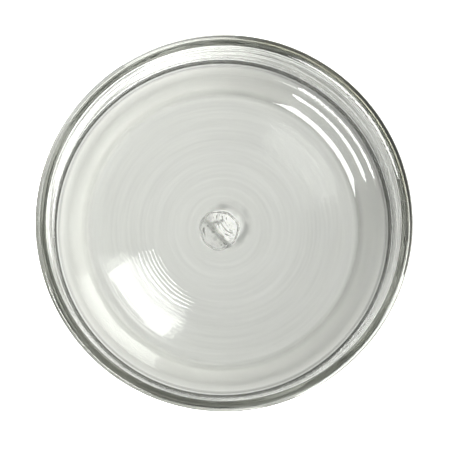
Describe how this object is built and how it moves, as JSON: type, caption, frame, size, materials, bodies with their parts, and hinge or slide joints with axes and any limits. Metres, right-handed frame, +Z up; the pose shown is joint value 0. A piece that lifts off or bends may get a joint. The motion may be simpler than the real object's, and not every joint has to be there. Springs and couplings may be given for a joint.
{
  "type": "crystallizing dish",
  "caption": "Low round glass dish with straight sides, a beaded rim, a rounded heel and a base pushed up in the middle, for growing crystals from an evaporating solution.",
  "frame": {"origin": "on the bench at the middle of the flat foot ring", "axes": "+Z up along the dish's axis, out of its mouth; the dish is the same all round, so +X and +Y are free"},
  "size_m": [0.15, 0.15, 0.075],
  "materials": {
    "clear_glass": "clear, fire polished, with fine concentric lines",
    "pontil_glass": "clear, broken and partly melted"
  },
  "bodies": {
    "root": {"base": "clear_glass", "heel": "clear_glass", "side_wall": "clear_glass", "rim_bead": "clear_glass", "pontil_mark": "pontil_glass"}
  },
  "joints": []
}
